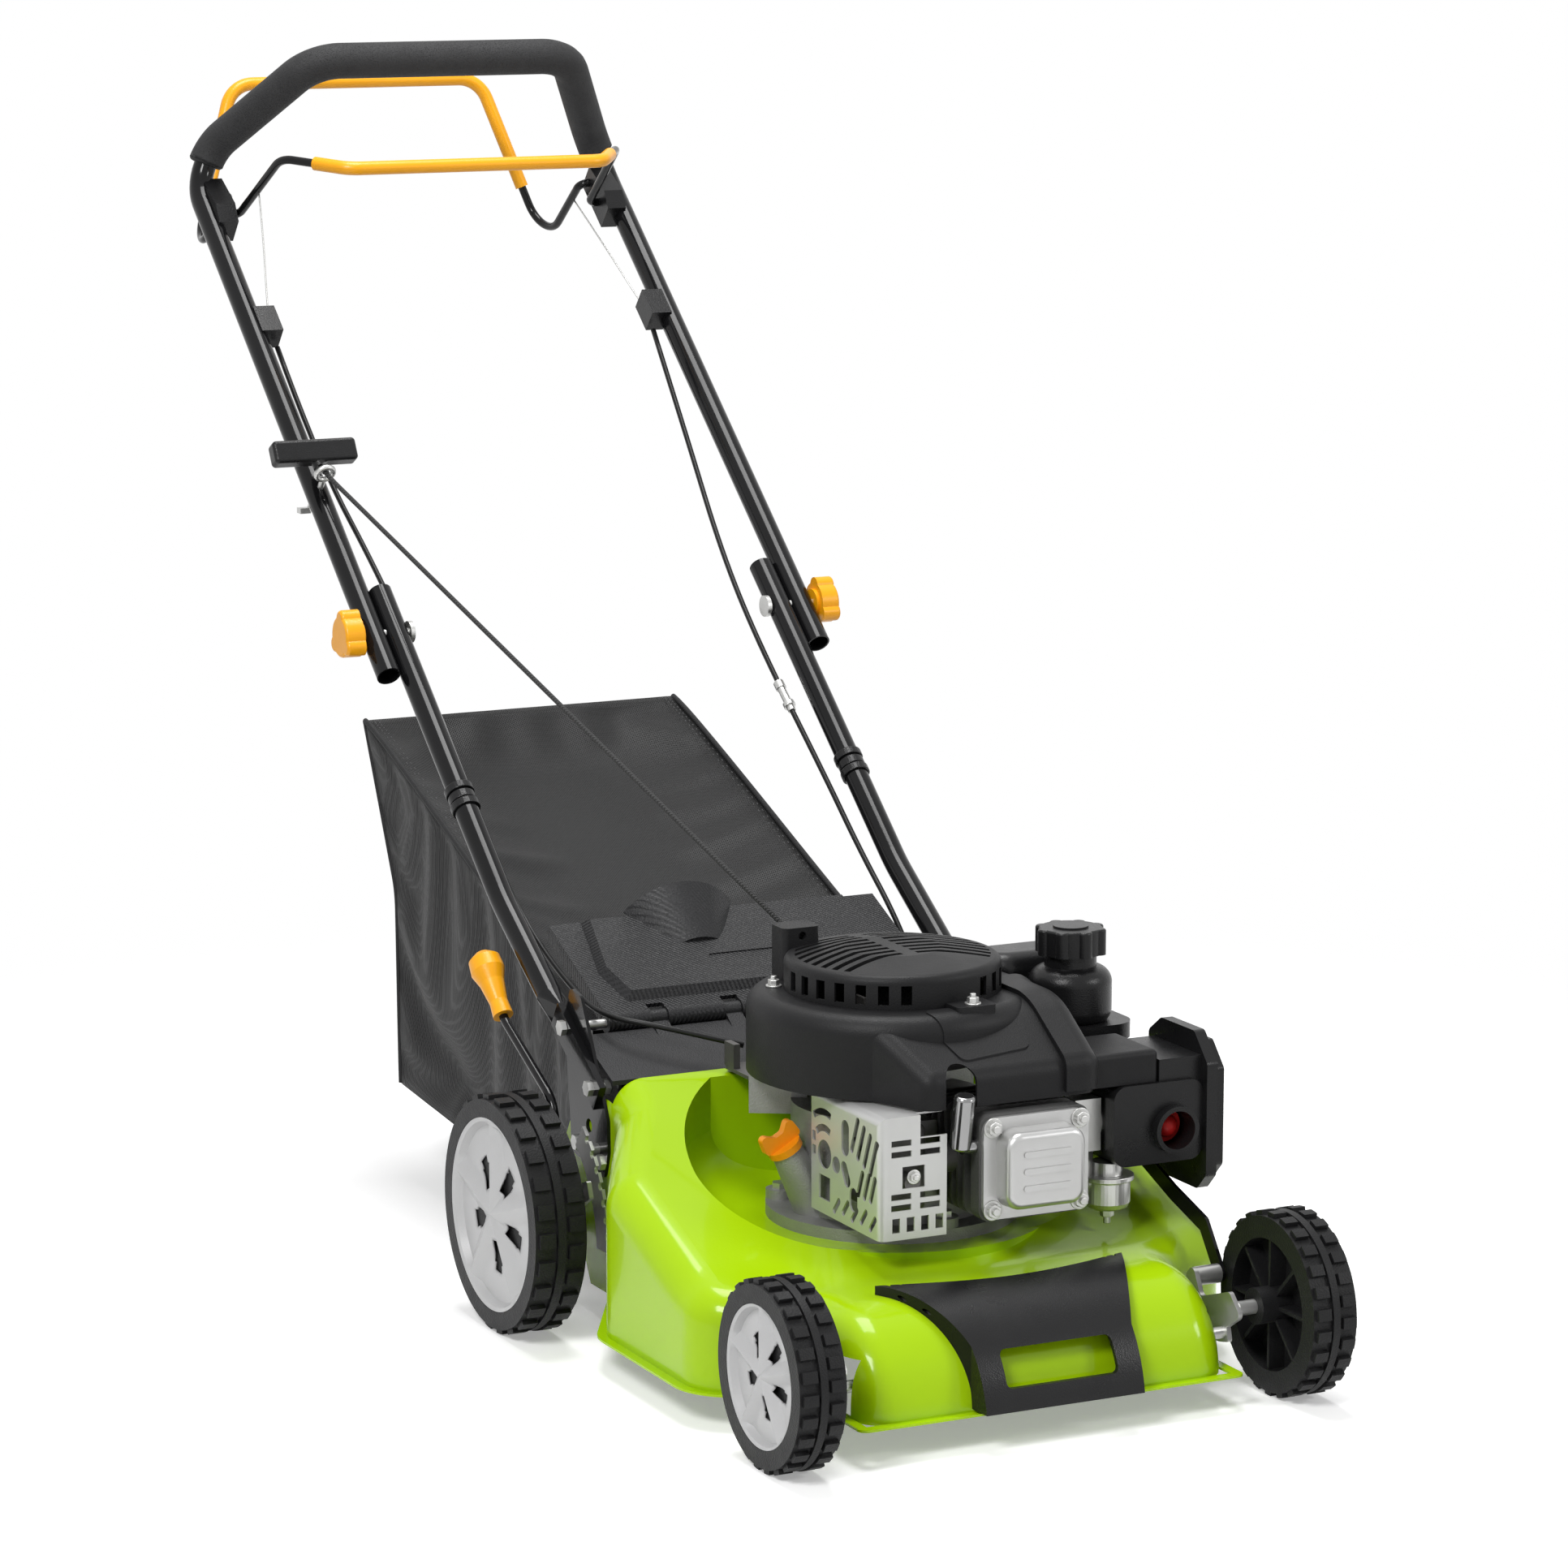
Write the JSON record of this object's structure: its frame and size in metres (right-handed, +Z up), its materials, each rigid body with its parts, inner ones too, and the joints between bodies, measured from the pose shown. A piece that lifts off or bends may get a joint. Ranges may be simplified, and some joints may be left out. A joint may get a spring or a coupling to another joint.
{
  "type": "walk-behind rotary lawn mower",
  "caption": "Petrol walk-behind lawn mower with a pressed steel deck, vertical-shaft engine, folding tube handle with control bails, and a rear grass catcher",
  "frame": {"origin": "on the ground below the crankshaft's axis", "axes": "+Y points to the rear, towards the operator; +X to the mower's left side; +Z up"},
  "size_m": [0.566, 1.5087, 1.0455],
  "materials": {
    "green_paint": "gloss",
    "black_plastic": "satin, fine grain",
    "black_paint": "gloss",
    "zinc": "satin zinc",
    "cast_alloy": "as cast",
    "pressed_steel": "bright pressed sheet",
    "iron": "dark",
    "tyre": "moulded",
    "hubcap_grey": "matte",
    "yellow_plastic": "satin",
    "foam": "closed-cell foam",
    "bag_cloth": "woven and knitted",
    "red_rubber": "soft",
    "orange_plastic": "satin",
    "black_rubber": "matte",
    "rope": "braided"
  },
  "bodies": {
    "chassis": {"deck_shell": "green_paint", "front_bumper": "black_plastic", "discharge_chute": "black_plastic", "handle_brackets": "black_paint", "lower_handles": "black_paint", "fasteners": "zinc", "height_rack": "zinc", "gearbox_housing": "cast_alloy", "drive_belt": "black_rubber", "engine_base": "cast_alloy", "cylinder_block": "cast_alloy", "valve_cover": "pressed_steel", "muffler": "iron", "muffler_guard": "pressed_steel", "blower_shroud": "black_plastic", "recoil_cover": "black_plastic", "fuel_tank": "black_plastic", "air_filter_base": "black_plastic", "air_filter_cover": "black_plastic", "carburettor": "zinc", "spark_plug": "black_rubber", "governor_bracket": "pressed_steel", "starter_rope": "rope", "control_cables": "black_rubber"},
    "crank": {"crankshaft": "zinc", "flywheel": "iron", "blade_adapter": "iron", "blade": "iron"},
    "gearbox_input": {"gearbox_pulley": "iron"},
    "output_shaft": {"drive_shaft": "zinc"},
    "rear_linkage": {"rear_axle": "zinc", "height_lever": "zinc", "height_knob": "yellow_plastic"},
    "front_linkage": {"front_axle": "zinc"},
    "link_bar": {"height_link": "black_paint"},
    "front_left": {"front_left_wheel": "tyre", "front_left_hubcap": "hubcap_grey"},
    "front_right": {"front_right_wheel": "tyre", "front_right_hubcap": "hubcap_grey"},
    "rear_left": {"rear_left_wheel": "tyre", "rear_left_hubcap": "hubcap_grey"},
    "rear_right": {"rear_right_wheel": "tyre", "rear_right_hubcap": "hubcap_grey"},
    "upper_frame": {"upper_handle": "black_paint", "foam_grip": "foam", "lever_brackets": "black_plastic", "rope_guide": "zinc"},
    "brake_lever": {"brake_bail": "black_paint", "brake_bail_cover": "yellow_plastic"},
    "drive_lever": {"drive_bail": "black_paint", "drive_bail_cover": "yellow_plastic"},
    "left_clamp": {"knob_left": "yellow_plastic"},
    "right_clamp": {"knob_right": "yellow_plastic"},
    "pull_grip": {"recoil_handle": "black_plastic"},
    "door": {"rear_door": "black_plastic"},
    "catcher": {"catcher_bag": "bag_cloth", "catcher_frame": "black_plastic"},
    "filler_cap": {"fuel_cap": "black_plastic"},
    "oil_cap": {"dipstick": "orange_plastic"},
    "primer": {"primer_bulb": "red_rubber"}
  },
  "joints": [
    {"name": "crank_spin", "type": "hinge", "parent": "chassis", "child": "crank", "pos_m": [0, 0, 0.1], "axis": [0, 0, 1], "continuous": true},
    {"name": "gearbox_pulley_spin", "type": "hinge", "parent": "chassis", "child": "gearbox_input", "pos_m": [0, 0.224, 0.104], "axis": [0, 0, 1], "continuous": true},
    {"name": "drive_shaft_spin", "type": "hinge", "parent": "chassis", "child": "output_shaft", "pos_m": [0, 0.245, 0.0706], "axis": [1, 0, 0], "continuous": true},
    {"name": "height_adjust", "type": "hinge", "parent": "chassis", "child": "rear_linkage", "pos_m": [0, 0.245, 0.0706], "axis": [1, 0, 0], "range_deg": [-20, 20]},
    {"name": "front_axle_swing", "type": "hinge", "parent": "chassis", "child": "front_linkage", "pos_m": [0, -0.2, 0.0452], "axis": [1, 0, 0], "range_deg": [-20, 20]},
    {"name": "height_link_pivot", "type": "hinge", "parent": "front_linkage", "child": "link_bar", "pos_m": [0.204, -0.19, 0.0862], "axis": [1, 0, 0], "range_deg": [-20, 20]},
    {"name": "front_left_wheel_spin", "type": "hinge", "parent": "front_linkage", "child": "front_left", "pos_m": [0.228, -0.257, 0.0762], "axis": [1, 0, 0], "continuous": true},
    {"name": "front_right_wheel_spin", "type": "hinge", "parent": "front_linkage", "child": "front_right", "pos_m": [-0.228, -0.257, 0.0762], "axis": [1, 0, 0], "continuous": true},
    {"name": "rear_left_wheel_spin", "type": "hinge", "parent": "rear_linkage", "child": "rear_left", "pos_m": [0.26, 0.188, 0.1016], "axis": [1, 0, 0], "continuous": true},
    {"name": "rear_right_wheel_spin", "type": "hinge", "parent": "rear_linkage", "child": "rear_right", "pos_m": [-0.26, 0.188, 0.1016], "axis": [1, 0, 0], "continuous": true},
    {"name": "handle_fold", "type": "hinge", "parent": "chassis", "child": "upper_frame", "pos_m": [0, 0.6055, 0.532], "axis": [1, 0, 0], "range_deg": [0, 130], "deforming": ["starter_rope", "control_cables"]},
    {"name": "brake_bail", "type": "hinge", "parent": "upper_frame", "child": "brake_lever", "pos_m": [0, 1.015, 0.88072], "axis": [-1, 0, 0], "range_deg": [0, 36], "stiffness_Nm_per_rad": 2, "springref_deg": -28.65},
    {"name": "drive_bail", "type": "hinge", "parent": "upper_frame", "child": "drive_lever", "pos_m": [0, 1.036, 0.8986], "axis": [1, 0, 0], "range_deg": [0, 78], "stiffness_Nm_per_rad": 1.5, "springref_deg": -28.65},
    {"name": "left_knob_turn", "type": "hinge", "parent": "chassis", "child": "left_clamp", "pos_m": [0.238, 0.6055, 0.532], "axis": [1, 0, 0], "continuous": true},
    {"name": "right_knob_turn", "type": "hinge", "parent": "chassis", "child": "right_clamp", "pos_m": [-0.238, 0.6055, 0.532], "axis": [1, 0, 0], "continuous": true},
    {"name": "recoil_pull", "type": "slide", "parent": "upper_frame", "child": "pull_grip", "axis": [-0.3147, 0.4652, 0.8274], "range_m": [0, 0.5], "stiffness_N_per_m": 20, "springref_m": -0.3, "deforming": ["starter_rope"]},
    {"name": "door_hinge", "type": "hinge", "parent": "chassis", "child": "door", "pos_m": [0, 0.226, 0.246], "axis": [1, 0, 0], "range_deg": [0, 75]},
    {"name": "catcher_pull", "type": "slide", "parent": "chassis", "child": "catcher", "axis": [0, 1, 0], "range_m": [0, 0.4]},
    {"name": "fuel_cap_turn", "type": "hinge", "parent": "chassis", "child": "filler_cap", "pos_m": [0.164, -0.007, 0.335], "axis": [0, 0, 1], "range_deg": [0, 90]},
    {"name": "dipstick_turn", "type": "hinge", "parent": "chassis", "child": "oil_cap", "pos_m": [-0.066, -0.007, 0.121], "axis": [-0.5, 0, 0.866], "range_deg": [0, 90]},
    {"name": "primer_press", "type": "slide", "parent": "chassis", "child": "primer", "axis": [0, 1, 0], "range_m": [0, 0.006], "stiffness_N_per_m": 600}
  ],
  "couplings": [
    {"joint": "gearbox_pulley_spin", "follows": "crank_spin", "ratio": 0.70588},
    {"joint": "front_axle_swing", "follows": "height_adjust", "ratio": 1},
    {"joint": "height_link_pivot", "follows": "height_adjust", "ratio": -1}
  ]
}
